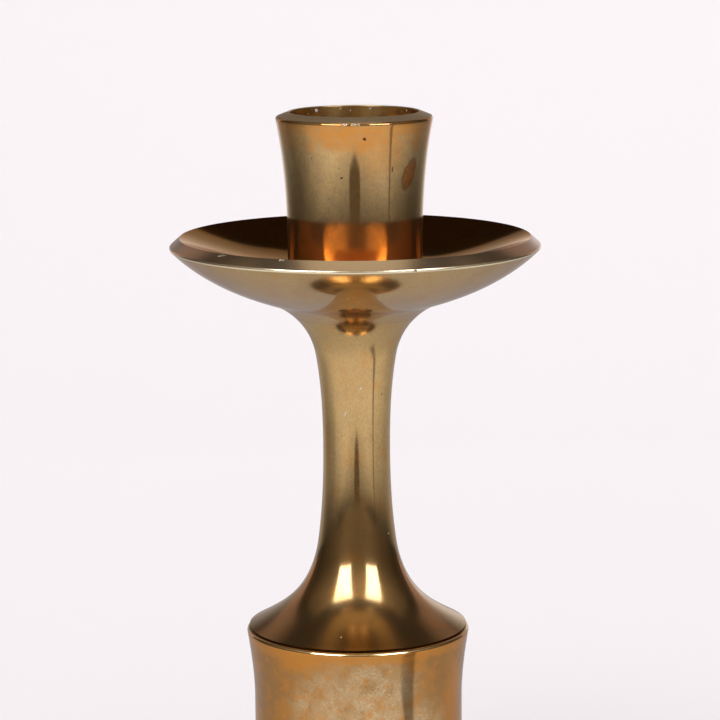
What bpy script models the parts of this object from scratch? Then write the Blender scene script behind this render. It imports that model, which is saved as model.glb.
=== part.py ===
"""Brass candlestick: candle cup, drip tray, stem and drum base, clamped on one steel tie rod.

Every brass piece is turned about +Z. The origin is the centre of the felt pad's underside,
which is the surface that the candlestick stands on. Drawing sizes are in millimetres and
are turned into Blender's metres when a mesh is made.

A turned outline is a chain of stations. A station is (radius, height, lean), and lean is
the angle of the surface from straight down, in degrees, positive where it spreads outward.
"""
import math

import bpy
from mathutils import Vector
from mathutils.geometry import interpolate_bezier

MM = 0.001
FIT_GAP = 0.3          # clearance between two pieces that touch
BRASS_FACETS = 48      # facets round the brass pieces and the pad
STEEL_FACETS = 24      # facets round the hidden steel pieces
EDGE_BREAK = 0.35      # how far a rounded turned edge runs back from its corner
LIP_BREAK = 0.25       # the same at the socket's mouth
SHARP_ANGLE = 35       # edges that turn more than this are shaded sharp, in degrees

# Leans of flat and upright lines, in degrees.
DOWNWARD = 0.0
OUTWARD = 90.0
UPWARD = 180.0
INWARD = -90.0

# Candle cup: a flared cup for a 22 mm candle, with a spigot below its foot.
TOTAL_HEIGHT = 140.0
MOUTH_RADIUS = 11.25
CUP_EDGE = (13.78, 139.0, -11.5)
CUP_WAIST = (11.81, 113.5, 0.0)
CUP_FOOT = 113.2
SOCKET_DEPTH = 22.0
SOCKET_FLOOR_RADIUS = 10.8
SPIGOT_RADIUS = 5.0
SPIGOT_END = 101.0

# Drip tray: a shallow dish with a bevelled rim, flowing into the stem below.
RIM_INNER = (30.74, 118.03, -69.5)
RIM_OUTER = (32.66, 116.35, -45.0)
TRAY_TURN = (15.33, 106.61, -73.0)
TRAY_SEAM = (10.9, 104.0, -48.0)
DISH_FLOOR = CUP_FOOT - FIT_GAP
DISH_FOOT = (12.5, DISH_FLOOR, -83.0)

# Stem: a slim waisted neck that spreads into a shoulder as wide as the drum.
NECK_TOP = (7.11, 97.17, -10.0)
NECK_WAIST = (5.92, 80.5, 0.0)
NECK_FLARE = (6.93, 63.75, 8.0)
SHOULDER_TURN = (11.0, 54.24, 41.8)
SHOULDER_END = (19.3, 48.47, 61.9)
STEM_FOOT = 48.3
STEM_SPIGOT_RADIUS = 8.0
STEM_SPIGOT_DEPTH = 2.0

# Base drum: a hollow drum that flares at both edges.
DRUM_TOP = STEM_FOOT - FIT_GAP
DRUM_BOTTOM = 1.8
DRUM_EDGE_RADIUS = 19.85
DRUM_WAIST_RADIUS = 18.53
DRUM_FLARE_HEIGHT = 12.9
DRUM_FLARE_LEAN = 9.3
CAVITY_RADIUS = 14.0
CAVITY_CEILING = 38.0
CAVITY_FILLET = 2.0

# Steel fasteners: an M6 rod with a plain washer, a spring washer and a nut.
ROD_RADIUS = 3.0
ROD_TOP = 114.2
ROD_BOTTOM = 26.9
ROD_CHAMFER = 0.5
ROD_HOLE_RADIUS = ROD_RADIUS + FIT_GAP
DRILL_POINT_ANGLE = 118
WASHER_RADIUS = 6.25
WASHER_THICKNESS = 1.6
WASHER_CHAMFER = 0.2
SPRING_WASHER_RADIUS = 5.9
SPRING_WASHER_SLOT = 1.2
SPRING_WASHER_SLANT = 20
NUT_ACROSS_FLATS = 10.0
NUT_HEIGHT = 5.0
NUT_CHAMFER_ANGLE = 30
NUT_BLANK_MARGIN = 0.4  # how far the turned blank of the nut stands outside its corners

# Felt pad under the drum.
PAD_RADIUS = 18.8
PAD_THICKNESS = DRUM_BOTTOM - FIT_GAP

BRASS = (0.55, 0.36, 0.14, 1.0)
COPPERY_BRASS = (0.56, 0.31, 0.12, 1.0)
STEEL = (0.45, 0.45, 0.46, 1.0)
FELT_GREEN = (0.03, 0.09, 0.05, 1.0)


def point(radius, height):
    """A point of an outline, in the plane that holds the turning axis."""
    return Vector((radius, 0.0, height))


def heading(lean):
    """The direction in which a surface of this lean runs as it is followed downward."""
    return Vector((math.sin(math.radians(lean)), 0.0, -math.cos(math.radians(lean))))


def flow(start, end, steps):
    """Points of the smooth, nearly circular curve from one station to the next."""
    first = point(*start[:2])
    last = point(*end[:2])
    half_turn = math.radians(end[2] - start[2]) / 4
    reach = (last - first).length / math.cos(half_turn) ** 2 / 3
    leave = first + heading(start[2]) * reach
    arrive = last - heading(end[2]) * reach
    return list(interpolate_bezier(first, leave, arrive, last, steps + 1))


def moved(station, distance):
    """The station this far along its own lean; a negative distance goes back up."""
    spot = point(*station[:2]) + heading(station[2]) * distance
    return (spot.x, spot.z, station[2])


def rounded(corner, lean_in, setback=EDGE_BREAK, steps=3):
    """Points of a small round where a line of lean_in meets the line that leaves the corner."""
    arriving = (corner[0], corner[1], lean_in)
    return flow(moved(arriving, -setback), moved(corner, setback), steps)


def chain(*runs):
    """Join runs of points into one outline, leaving out points that repeat."""
    outline = []
    for run in runs:
        for spot in run:
            if not outline or (spot - outline[-1]).length > 0.001:
                outline.append(spot)
    return outline


def finish_shading(mesh):
    """Shade the turned surface smooth and keep its corners crisp."""
    mesh.shade_smooth()
    mesh.set_sharp_from_angle(angle=math.radians(SHARP_ANGLE))


def turned(name, outline, seat, facets=BRASS_FACETS, closed=False):
    """Turn an outline about the axis. The object's origin is on the axis at height seat."""
    edges = [(index, index + 1) for index in range(len(outline) - 1)]
    if closed:
        edges.append((len(outline) - 1, 0))
    mesh = bpy.data.meshes.new(name)
    mesh.from_pydata([(spot - point(0, seat)) * MM for spot in outline], edges, [])
    piece = bpy.data.objects.new(name, mesh)
    piece.location.z = seat * MM
    bpy.context.scene.collection.objects.link(piece)
    screw = piece.modifiers.new("Turning", "SCREW")
    screw.steps = facets
    screw.render_steps = facets
    screw.use_merge_vertices = True
    screw.merge_threshold = 0.00001
    bpy.context.view_layer.objects.active = piece
    bpy.ops.object.modifier_apply(modifier=screw.name)
    finish_shading(piece.data)
    return piece


def cut(piece, cutter, operation="DIFFERENCE"):
    """Cut a piece with a cutter object, which stays in the file as a guide."""
    boolean = piece.modifiers.new(cutter.name, "BOOLEAN")
    boolean.operation = operation
    boolean.solver = "EXACT"
    boolean.object = cutter
    cutter.hide_render = True
    cutter.display_type = "WIRE"


def coat(piece, name, colour, roughness, metallic):
    """Give a piece its own material."""
    material = bpy.data.materials.new(name)
    material.use_nodes = True
    shader = material.node_tree.nodes["Principled BSDF"]
    shader.inputs["Base Color"].default_value = colour
    shader.inputs["Roughness"].default_value = roughness
    shader.inputs["Metallic"].default_value = metallic
    material.diffuse_color = colour
    piece.data.materials.clear()
    piece.data.materials.append(material)


def make_candle_cup():
    """The cup: socket from above, solid foot, spigot with a blind threaded hole."""
    socket_floor = TOTAL_HEIGHT - SOCKET_DEPTH
    lip_lean = math.degrees(math.atan2(CUP_EDGE[0] - MOUTH_RADIUS, TOTAL_HEIGHT - CUP_EDGE[1]))
    thread_end = ROD_TOP + FIT_GAP
    drill_tip = thread_end + ROD_HOLE_RADIUS / math.tan(math.radians(DRILL_POINT_ANGLE / 2))
    outline = chain(
        [point(0, socket_floor), point(SOCKET_FLOOR_RADIUS, socket_floor)],
        rounded((MOUTH_RADIUS, TOTAL_HEIGHT, lip_lean), UPWARD, LIP_BREAK),
        rounded(CUP_EDGE, lip_lean),
        flow(moved(CUP_EDGE, EDGE_BREAK), CUP_WAIST, 8),
        [point(CUP_WAIST[0], CUP_FOOT)],
        [point(SPIGOT_RADIUS, CUP_FOOT), point(SPIGOT_RADIUS, SPIGOT_END)],
        [point(ROD_HOLE_RADIUS, SPIGOT_END), point(ROD_HOLE_RADIUS, thread_end)],
        [point(0, drill_tip)],
    )
    cup = turned("candle_cup", outline, CUP_FOOT)
    coat(cup, "cup brass", BRASS, 0.22, 1.0)
    return cup


def make_drip_tray():
    """The tray: a bevelled rim round a curved dish, with a hub hole for the cup's spigot."""
    bevel_lean = math.degrees(math.atan2(RIM_OUTER[0] - RIM_INNER[0], RIM_INNER[1] - RIM_OUTER[1]))
    hub_radius = SPIGOT_RADIUS + FIT_GAP
    dish = flow(RIM_INNER, DISH_FOOT, 8)
    dish.reverse()
    outline = chain(
        rounded(RIM_OUTER, bevel_lean),
        flow(moved(RIM_OUTER, EDGE_BREAK), TRAY_TURN, 7),
        flow(TRAY_TURN, TRAY_SEAM, 3),
        [point(hub_radius, TRAY_SEAM[1]), point(hub_radius, DISH_FLOOR)],
        dish,
    )
    tray = turned("drip_tray", outline, TRAY_SEAM[1], closed=True)
    coat(tray, "tray brass", BRASS, 0.2, 1.0)
    return tray


def make_stem():
    """The stem: counterbored on top for the cup's spigot, with its own spigot for the drum."""
    top = moved(TRAY_SEAM, FIT_GAP / math.cos(math.radians(TRAY_SEAM[2])))
    counterbore_radius = SPIGOT_RADIUS + FIT_GAP
    counterbore_floor = SPIGOT_END - FIT_GAP
    spigot_end = STEM_FOOT - STEM_SPIGOT_DEPTH
    outline = chain(
        flow(top, NECK_TOP, 5),
        flow(NECK_TOP, NECK_WAIST, 4),
        flow(NECK_WAIST, NECK_FLARE, 3),
        flow(NECK_FLARE, SHOULDER_TURN, 6),
        flow(SHOULDER_TURN, SHOULDER_END, 4),
        [point(SHOULDER_END[0], STEM_FOOT), point(STEM_SPIGOT_RADIUS, STEM_FOOT)],
        [point(STEM_SPIGOT_RADIUS, spigot_end), point(ROD_HOLE_RADIUS, spigot_end)],
        [point(ROD_HOLE_RADIUS, counterbore_floor), point(counterbore_radius, counterbore_floor)],
        [point(counterbore_radius, top[1])],
    )
    stem = turned("stem", outline, STEM_FOOT, closed=True)
    coat(stem, "stem brass", BRASS, 0.2, 1.0)
    return stem


def make_base_drum():
    """The drum: flared edges, a recess for the stem's spigot, hollowed out from below."""
    recess_radius = STEM_SPIGOT_RADIUS + FIT_GAP
    recess_floor = STEM_FOOT - STEM_SPIGOT_DEPTH - FIT_GAP
    top_edge = (DRUM_EDGE_RADIUS, DRUM_TOP, -DRUM_FLARE_LEAN)
    foot_edge = (DRUM_EDGE_RADIUS, DRUM_BOTTOM, DRUM_FLARE_LEAN)
    upper_waist = (DRUM_WAIST_RADIUS, DRUM_TOP - DRUM_FLARE_HEIGHT, 0)
    lower_waist = (DRUM_WAIST_RADIUS, DRUM_BOTTOM + DRUM_FLARE_HEIGHT, 0)
    outline = chain(
        rounded(top_edge, OUTWARD),
        flow(moved(top_edge, EDGE_BREAK), upper_waist, 5),
        flow(lower_waist, moved(foot_edge, -EDGE_BREAK), 5),
        rounded((DRUM_EDGE_RADIUS, DRUM_BOTTOM, INWARD), DRUM_FLARE_LEAN),
        [point(CAVITY_RADIUS, DRUM_BOTTOM)],
        rounded((CAVITY_RADIUS, CAVITY_CEILING, INWARD + 360.0), UPWARD, CAVITY_FILLET),
        [point(ROD_HOLE_RADIUS, CAVITY_CEILING), point(ROD_HOLE_RADIUS, recess_floor)],
        [point(recess_radius, recess_floor), point(recess_radius, DRUM_TOP)],
    )
    drum = turned("base_drum", outline, DRUM_BOTTOM, closed=True)
    coat(drum, "drum brass", COPPERY_BRASS, 0.28, 1.0)
    return drum


def make_tie_rod():
    """The rod that pulls the cup, tray, stem and drum together."""
    neck = ROD_RADIUS - ROD_CHAMFER
    outline = [
        point(0, ROD_TOP),
        point(neck, ROD_TOP),
        point(ROD_RADIUS, ROD_TOP - ROD_CHAMFER),
        point(ROD_RADIUS, ROD_BOTTOM + ROD_CHAMFER),
        point(neck, ROD_BOTTOM),
        point(0, ROD_BOTTOM),
    ]
    rod = turned("tie_rod", outline, ROD_BOTTOM, STEEL_FACETS)
    coat(rod, "rod steel", STEEL, 0.35, 1.0)
    return rod


def make_flat_ring(name, radius, thickness, underside):
    """A plain ring round the rod, with small chamfers on its outer edges."""
    outline = [
        point(radius - WASHER_CHAMFER, underside + thickness),
        point(radius, underside + thickness - WASHER_CHAMFER),
        point(radius, underside + WASHER_CHAMFER),
        point(radius - WASHER_CHAMFER, underside),
        point(ROD_HOLE_RADIUS, underside),
        point(ROD_HOLE_RADIUS, underside + thickness),
    ]
    ring = turned(name, outline, underside, STEEL_FACETS, closed=True)
    coat(ring, name.replace("_", " ") + " steel", STEEL, 0.3, 1.0)
    return ring


def make_spring_washer(underside):
    """A ring split by one slanted slot."""
    washer = make_flat_ring("spring_washer", SPRING_WASHER_RADIUS, WASHER_THICKNESS, underside)
    bpy.ops.mesh.primitive_cube_add(size=1)
    slot = bpy.context.object
    slot.name = "spring_washer_slot"
    slot.dimensions = (2 * SPRING_WASHER_RADIUS * MM, SPRING_WASHER_SLOT * MM, 4 * WASHER_THICKNESS * MM)
    bpy.ops.object.transform_apply(location=False, rotation=False, scale=True)
    slot.location = (SPRING_WASHER_RADIUS * MM, 0, (underside + WASHER_THICKNESS / 2) * MM)
    slot.rotation_euler.x = math.radians(SPRING_WASHER_SLANT)
    cut(washer, slot)
    return washer, slot


def make_hex_nut(underside):
    """A six-sided nut, chamfered top and bottom, bored for the rod."""
    corner_radius = NUT_ACROSS_FLATS / 2 / math.cos(math.radians(30))
    bpy.ops.mesh.primitive_cylinder_add(vertices=6, radius=corner_radius * MM, depth=NUT_HEIGHT * MM)
    nut = bpy.context.object
    nut.name = "hex_nut"
    nut.location.z = (underside + NUT_HEIGHT / 2) * MM
    flat_radius = NUT_ACROSS_FLATS / 2
    reach = corner_radius + NUT_BLANK_MARGIN
    drop = (reach - flat_radius) * math.tan(math.radians(NUT_CHAMFER_ANGLE))
    envelope = [
        point(flat_radius, underside + NUT_HEIGHT),
        point(reach, underside + NUT_HEIGHT - drop),
        point(reach, underside + drop),
        point(flat_radius, underside),
        point(ROD_HOLE_RADIUS, underside),
        point(ROD_HOLE_RADIUS, underside + NUT_HEIGHT),
    ]
    blank = turned("hex_nut_blank", envelope, underside, STEEL_FACETS, closed=True)
    cut(nut, blank, "INTERSECT")
    coat(nut, "nut steel", STEEL, 0.3, 1.0)
    return nut, blank


def make_felt_pad():
    """The pad glued under the drum."""
    outline = chain(
        [point(0, PAD_THICKNESS)],
        rounded((PAD_RADIUS, PAD_THICKNESS, DOWNWARD), OUTWARD),
        [point(PAD_RADIUS, 0), point(0, 0)],
    )
    pad = turned("felt_pad", outline, 0)
    coat(pad, "green felt", FELT_GREEN, 0.95, 0.0)
    return pad


def new_collection(name):
    collection = bpy.data.collections.new(name)
    bpy.context.scene.collection.children.link(collection)
    return collection


def put_in(collection, piece):
    """Move an object into one collection."""
    for holder in list(piece.users_collection):
        holder.objects.unlink(piece)
    collection.objects.link(piece)


def main():
    for old in list(bpy.data.objects):
        bpy.data.objects.remove(old, do_unlink=True)
    candlestick = new_collection("brass_candlestick")
    cutters = new_collection("cutters")

    washer_underside = CAVITY_CEILING - FIT_GAP - WASHER_THICKNESS
    spring_underside = washer_underside - FIT_GAP - WASHER_THICKNESS
    nut_underside = spring_underside - FIT_GAP - NUT_HEIGHT
    flat_washer = make_flat_ring("flat_washer", WASHER_RADIUS, WASHER_THICKNESS, washer_underside)
    spring_washer, slot = make_spring_washer(spring_underside)
    hex_nut, blank = make_hex_nut(nut_underside)
    pieces = [
        make_candle_cup(),
        make_drip_tray(),
        make_stem(),
        make_base_drum(),
        make_tie_rod(),
        flat_washer,
        spring_washer,
        hex_nut,
        make_felt_pad(),
    ]

    stand = bpy.data.objects.new("candlestick_origin", None)
    candlestick.objects.link(stand)
    for piece in pieces:
        put_in(candlestick, piece)
        piece.parent = stand
    for cutter in (slot, blank):
        put_in(cutters, cutter)


main()
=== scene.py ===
"""Brass candlestick: finely turned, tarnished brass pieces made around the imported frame.

Turned outlines are drawn in millimetres and become metres when a mesh is made. An outline is
a chain of stations. A station is (radius, height, lean), and lean is the angle of the surface
from straight down, in degrees, positive where it spreads outward. The object's front is -Y.
"""
import math
import bmesh
import bpy
from mathutils import Euler, Matrix, Vector
from mathutils.geometry import interpolate_bezier


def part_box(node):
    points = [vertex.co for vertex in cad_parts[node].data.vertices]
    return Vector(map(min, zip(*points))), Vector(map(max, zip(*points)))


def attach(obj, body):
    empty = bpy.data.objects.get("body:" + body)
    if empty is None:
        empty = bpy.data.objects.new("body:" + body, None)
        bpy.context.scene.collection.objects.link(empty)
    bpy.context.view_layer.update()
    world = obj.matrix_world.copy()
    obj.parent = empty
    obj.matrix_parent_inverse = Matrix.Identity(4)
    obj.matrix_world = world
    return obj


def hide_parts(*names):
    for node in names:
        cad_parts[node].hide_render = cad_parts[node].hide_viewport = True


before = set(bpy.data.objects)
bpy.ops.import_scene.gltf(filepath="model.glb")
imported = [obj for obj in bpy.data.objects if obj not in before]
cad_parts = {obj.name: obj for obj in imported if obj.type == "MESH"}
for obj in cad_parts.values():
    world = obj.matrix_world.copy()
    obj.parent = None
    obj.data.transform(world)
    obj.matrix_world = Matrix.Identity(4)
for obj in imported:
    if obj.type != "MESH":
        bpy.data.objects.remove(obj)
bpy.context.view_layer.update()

bl_info = {
    "name": "Brass Candlestick",
    "version": (1, 0, 0),
    "blender": (4, 5, 0),
    "location": "3D View > Sidebar > Candlestick",
    "description": "Builds a tarnished brass candlestick, piece by piece, and a studio table for it",
    "category": "Object",
}

MM = 0.001

# Leans of flat and upright lines, in degrees.
OUTWARD = 90.0
UPWARD = 180.0
INWARD = -90.0


def node_top(name):
    """The height of a frame node's highest point, in millimetres."""
    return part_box(name)[1].z / MM


def node_bottom(name):
    """The height of a frame node's lowest point, in millimetres."""
    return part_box(name)[0].z / MM


# Candle cup.
LIP_HEIGHT = 140.0
LIP_ROUND = 0.28
CUP_EDGE = (13.78, 139.0, -11.5)
CUP_WAIST = (11.81, 113.5, 0.0)
SOCKET_FLOOR_RADIUS = 10.8
SOCKET_FLOOR_ROUND = 0.5
SPIGOT_RADIUS = 5.0

# Drip tray.
HUB_RADIUS = 5.3
RIM_INNER = (30.74, 118.03, -69.5)
RIM_OUTER = (32.66, 116.35, -45.0)
TRAY_TURN = (15.33, 106.61, -73.0)
TRAY_SEAM = (10.9, 104.0, -48.0)
DISH_FLOOR = 112.9
DISH_FOOT = (12.5, DISH_FLOOR, -83.0)
# The tray's faces that look up more squarely than this are the dish.
DISH_LEAST_RISE = 0.81

# Stem.
NECK_TOP = (7.11, 97.17, -10.0)
NECK_WAIST = (5.92, 80.5, 0.0)
NECK_FLARE = (6.93, 63.75, 8.0)
SHOULDER_TURN = (11.0, 54.24, 41.8)
SHOULDER_END = (19.3, 48.47, 61.9)
SHOULDER_UNDERCUT = 0.4

# Base drum.
DRUM_EDGE_RADIUS = 19.85
DRUM_WAIST_RADIUS = 18.53
DRUM_FLARE_HEIGHT = 12.9
DRUM_FLARE_LEAN = 9.3
DRUM_UPPER_WAIST = (DRUM_WAIST_RADIUS, 35.1, 0.0)
CAVITY_RADIUS = 14.0
CAVITY_CEILING = 38.0
CAVITY_ROUND = 2.0
ROD_HOLE_RADIUS = 3.3

# How many steps a curve is drawn in.
LONG_CURVE = 40
SHOULDER_CURVE = 30
CURVE = 24
SHORT_CURVE = 12

# Small marks in the brass: where each one is and how far it reaches, in millimetres.
CUP_PITS = (
    ((1.72, -13.15, 136.29), 0.26),
    ((-2.23, -12.19, 129.56), 0.2),
    ((-2.6, -12.2, 131.2), 0.12),
    ((-4.4, -11.2, 126.0), 0.1),
)
LIP_NICKS = (
    ((-1.65, -13.65, 138.85), 0.45),
    ((-0.12, -13.75, 138.85), 0.5),
    ((0.75, -13.7, 138.9), 0.2),
)
WAX_SPECKS = (
    ((-6.67, 9.04, 139.18), 0.26),
    ((-2.44, 10.97, 139.33), 0.13),
    ((-0.67, 11.21, 138.94), 0.1),
    ((2.87, 10.87, 139.30), 0.14),
    ((9.18, 6.49, 139.31), 0.12),
    ((-8.1, 7.7, 138.7), 0.08),
)
RIM_NICKS = (
    ((-22.6, -21.4, 117.6), (0.9, -0.7, 0.3), 0.14),
    ((-22.2, -21.5, 117.3), (0.5, 0.1, 0.4), 0.08),
    ((-12.36, -28.38, 117.85), (0.25, 0.0, 0.0), 0.18),
    ((-11.86, -28.56, 117.87), (0.2, 0.0, 0.1), 0.12),
    ((-7.69, -31.6, 116.5), (0.16, 0.05, 0.0), 0.08),
)
STEM_NICKS = (
    ((-1.9, -5.78, 87.37), (0.2, 0.0, 0.55), 0.16),
    ((0.75, -6.38, 92.08), (0.3, 0.0, 0.3), 0.12),
    ((5.52, -3.79, 65.52), (0.2, 0.0, 0.0), 0.16),
    ((-2.9, -16.2, 50.0), (0.14, 0.0, 0.0), 0.1),
)


def point(radius, height):
    """A point of an outline, in the plane that holds the turning axis."""
    return Vector((radius, 0.0, height))


def heading(lean):
    """The direction in which a surface of this lean runs as it is followed downward."""
    return Vector((math.sin(math.radians(lean)), 0.0, -math.cos(math.radians(lean))))


def flow(start, end, steps):
    """Points of the smooth, nearly circular curve from one station to the next."""
    first = point(*start[:2])
    last = point(*end[:2])
    half_turn = math.radians(end[2] - start[2]) / 4
    reach = (last - first).length / math.cos(half_turn) ** 2 / 3
    leave = first + heading(start[2]) * reach
    arrive = last - heading(end[2]) * reach
    return list(interpolate_bezier(first, leave, arrive, last, steps + 1))


def moved(station, distance):
    """The station this far along its own lean; a negative distance goes back up."""
    spot = point(*station[:2]) + heading(station[2]) * distance
    return (spot.x, spot.z, station[2])


def rounded(corner, lean_in, setback, steps=8):
    """Points of a small round where a line of lean_in meets the line that leaves the corner."""
    arriving = (corner[0], corner[1], lean_in)
    return flow(moved(arriving, -setback), moved(corner, setback), steps)


def chain(*runs):
    """Join runs of points into one outline, leaving out points that repeat."""
    outline = []
    for run in runs:
        for spot in run:
            if not outline or (spot - outline[-1]).length > 0.001:
                outline.append(spot)
    return outline


def turned(name, outline, facets, closed=False):
    """Turn an outline about the object's axis into a mesh object."""
    edges = [(index, index + 1) for index in range(len(outline) - 1)]
    if closed:
        edges.append((len(outline) - 1, 0))
    mesh = bpy.data.meshes.new(name)
    mesh.from_pydata([spot * MM for spot in outline], edges, [])
    piece = bpy.data.objects.new(name, mesh)
    bpy.context.scene.collection.objects.link(piece)
    screw = piece.modifiers.new("Turning", "SCREW")
    screw.steps = facets
    screw.render_steps = facets
    screw.use_merge_vertices = True
    screw.merge_threshold = 0.000001
    bpy.context.view_layer.objects.active = piece
    bpy.ops.object.modifier_apply(modifier=screw.name)
    piece.data.shade_smooth()
    piece.data.set_sharp_from_angle(angle=math.radians(40))
    return piece


def linear(code, alpha=1.0):
    """Turn an sRGB hex colour into the linear colour that Blender's shaders take."""
    channels = [int(code[start:start + 2], 16) / 255 for start in (0, 2, 4)]
    curve = [c / 12.92 if c <= 0.04045 else ((c + 0.055) / 1.055) ** 2.4 for c in channels]
    return (*curve, alpha)


def node(tree, kind, settings=None, inputs=None):
    """Add a node, set its own settings, and set or link its inputs."""
    made = tree.nodes.new(kind)
    for name, value in (settings or {}).items():
        setattr(made, name, value)
    for key, value in (inputs or {}).items():
        if isinstance(value, bpy.types.NodeSocket):
            tree.links.new(value, made.inputs[key])
        else:
            made.inputs[key].default_value = value
    return made


def maths(tree, operation, *values):
    """The result of one small calculation with numbers."""
    return node(tree, "ShaderNodeMath", {"operation": operation}, dict(enumerate(values))).outputs[0]


def vectors(tree, operation, *values, result="Vector"):
    """The result of one small calculation with places or directions."""
    made = node(tree, "ShaderNodeVectorMath", {"operation": operation}, dict(enumerate(values)))
    return made.outputs[result]


def smooth(tree, value, low, high, start=0.0, end=1.0):
    """A smooth change from start to end as the value goes from low to high."""
    return node(tree, "ShaderNodeMapRange", {"interpolation_type": "SMOOTHSTEP"}, {
        "Value": value, "From Min": low, "From Max": high, "To Min": start, "To Max": end}).outputs[0]


def new_material(name):
    """An empty node material; returns the material and its node tree."""
    material = bpy.data.materials.new(name)
    material.use_nodes = True
    material.node_tree.nodes.clear()
    return material, material.node_tree


class CandlestickSizes(bpy.types.PropertyGroup):
    """The socket's sizes, how finely the pieces are drawn and how they meet."""

    facets: bpy.props.IntProperty(
        name="Facets", description="Facets round each turned brass piece", default=256, min=32)
    mouth_radius: bpy.props.FloatProperty(
        name="Mouth radius", description="Radius of the candle socket at its mouth",
        default=11.25 * MM, unit="LENGTH")
    socket_depth: bpy.props.FloatProperty(
        name="Socket depth", description="Depth of the candle socket",
        default=22.0 * MM, unit="LENGTH")
    edge_round: bpy.props.FloatProperty(
        name="Edge round", description="How far a rounded edge runs back from its corner",
        default=0.42 * MM, unit="LENGTH")
    seam: bpy.props.FloatProperty(
        name="Seam", description="Hairline gap where two brass pieces meet",
        default=0.02 * MM, unit="LENGTH")


class CandlestickFinish(bpy.types.PropertyGroup):
    """Colours of the brass, its tarnish, the felt and the table."""

    brass: bpy.props.FloatVectorProperty(
        name="Brass", description="Yellow brass under a thin warm film", subtype="COLOR",
        size=4, default=linear("D7B47C"), min=0, max=1)
    drum: bpy.props.FloatVectorProperty(
        name="Drum brass", description="Redder brass of the drum", subtype="COLOR",
        size=4, default=linear("B8864E"), min=0, max=1)
    cream: bpy.props.FloatVectorProperty(
        name="Cream film", description="Pale film left by wiping", subtype="COLOR",
        size=4, default=linear("D0AC7E"), min=0, max=1)
    socket: bpy.props.FloatVectorProperty(
        name="Socket", description="Duller gold of the candle socket", subtype="COLOR",
        size=4, default=linear("B8935A"), min=0, max=1)
    blotch: bpy.props.FloatVectorProperty(
        name="Copper blotch", description="Bare copper-red blotch on the cup", subtype="COLOR",
        size=4, default=linear("C98244"), min=0, max=1)
    dish: bpy.props.FloatVectorProperty(
        name="Dish", description="Coppery film in the dish", subtype="COLOR",
        size=4, default=linear("C47C32"), min=0, max=1)
    grey_patina: bpy.props.FloatVectorProperty(
        name="Grey patina", description="Grey patina of handled bevels", subtype="COLOR",
        size=4, default=linear("CCB593"), min=0, max=1)
    copper: bpy.props.FloatVectorProperty(
        name="Coppery bloom", description="Orange bloom where zinc has left the surface",
        subtype="COLOR", size=4, default=linear("DA9445"), min=0, max=1)
    umber: bpy.props.FloatVectorProperty(
        name="Umber tarnish", description="Brown film in patches", subtype="COLOR",
        size=4, default=linear("A98656"), min=0, max=1)
    film: bpy.props.FloatVectorProperty(
        name="Grey film", description="Dull grey film of handling and dust", subtype="COLOR",
        size=4, default=linear("A5977C"), min=0, max=1)
    roughness: bpy.props.FloatProperty(
        name="Roughness", description="Roughness of the polished brass", subtype="FACTOR",
        default=0.08, min=0, max=1)
    felt: bpy.props.FloatVectorProperty(
        name="Felt", description="Colour of the felt pad", subtype="COLOR",
        size=4, default=linear("2F4A38"), min=0, max=1)
    paper: bpy.props.FloatVectorProperty(
        name="Paper", description="Colour of the table and backdrop", subtype="COLOR",
        size=4, default=linear("F2EEF0"), min=0, max=1)


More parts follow.
